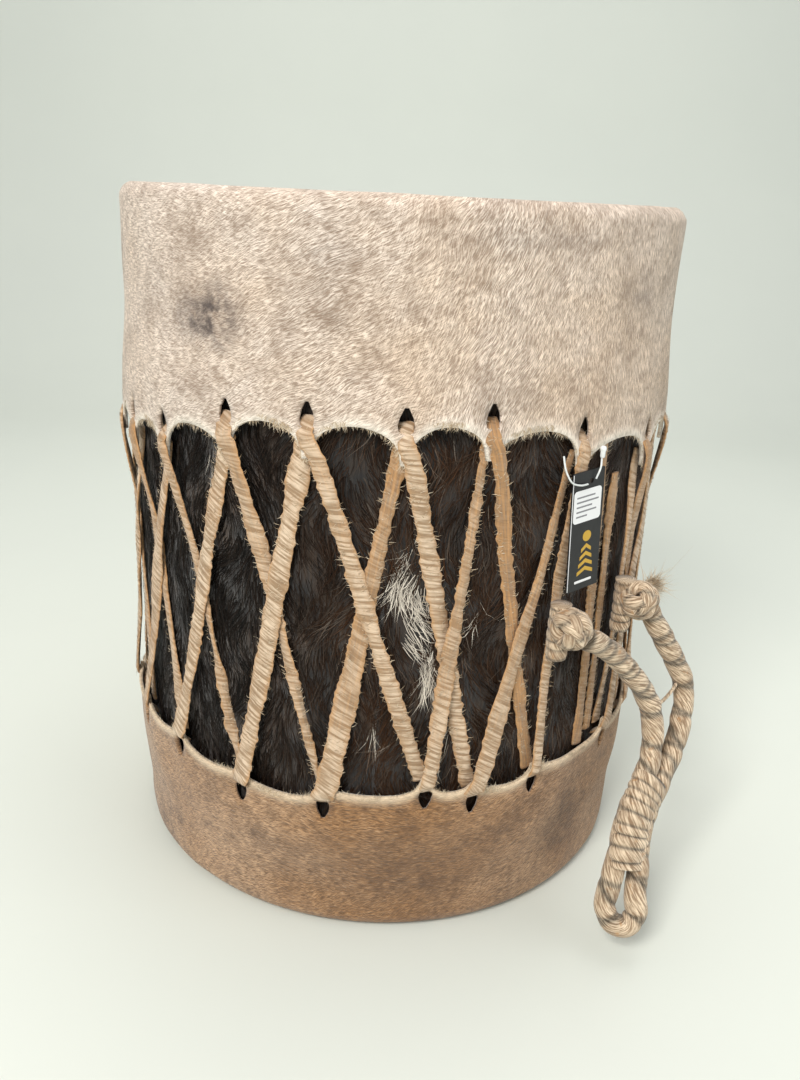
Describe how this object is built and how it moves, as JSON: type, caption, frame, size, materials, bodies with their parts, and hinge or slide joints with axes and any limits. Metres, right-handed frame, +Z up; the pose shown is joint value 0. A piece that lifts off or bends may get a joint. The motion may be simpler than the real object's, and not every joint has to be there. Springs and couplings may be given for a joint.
{
  "type": "hide drum",
  "caption": "Tall double-headed hide drum: wooden shell wrapped in dark long-haired hide, light hide heads laced with thongs, stiff rope carrying loop and blank swing tag.",
  "frame": {"origin": "centre of the base, on the ground", "axes": "+Z up along the drum's axis, -Y the front, +X the right; the carrying loop is at the front right"},
  "size_m": [0.5475, 0.5403, 0.615],
  "materials": {
    "shell_wood": "rough",
    "dark_hide": "long dark hair",
    "light_hide": "short light hair",
    "tan_hide": "short tan hair",
    "thong": "hairy hide strip",
    "rope_hide": "hair-on hide rope",
    "tag_black": "black card",
    "tag_white": "white paper",
    "clear_plastic": "clear plastic"
  },
  "bodies": {
    "drum": {"shell": "shell_wood", "body_hide": "dark_hide", "top_head": "light_hide", "bottom_head": "tan_hide", "lace_01": "thong", "lace_02": "thong", "lace_03": "thong", "lace_04": "thong", "lace_05": "thong", "lace_06": "thong", "lace_07": "thong", "lace_08": "thong", "lace_09": "thong", "lace_10": "thong", "lace_11": "thong", "lace_12": "thong", "lace_13": "thong", "lace_14": "thong", "lace_15": "thong", "lace_16": "thong", "lace_17": "thong", "lace_18": "thong", "lace_19": "thong", "lace_20": "thong", "lace_21": "thong", "lace_22": "thong", "spare_thongs": "thong", "knot_front": "rope_hide", "knot_side": "rope_hide", "frayed_end": "rope_hide"},
    "handle": {"handle_rope": "rope_hide", "handle_binding": "rope_hide", "handle_lashing": "thong"},
    "tag": {"tag_card": "tag_black", "tag_label": "tag_white", "tag_loop": "clear_plastic", "tag_anchor": "clear_plastic"}
  },
  "joints": [
    {"name": "handle_swing", "type": "hinge", "parent": "drum", "child": "handle", "pos_m": [0.14883, -0.23362, 0.296], "axis": [-0.7402, -0.6724, 0], "range_deg": [0, 120]},
    {"name": "tag_swing", "type": "hinge", "parent": "drum", "child": "tag", "pos_m": [0.15429, -0.21237, 0.438], "axis": [-0.809, -0.5878, 0], "range_deg": [0, 110]}
  ]
}
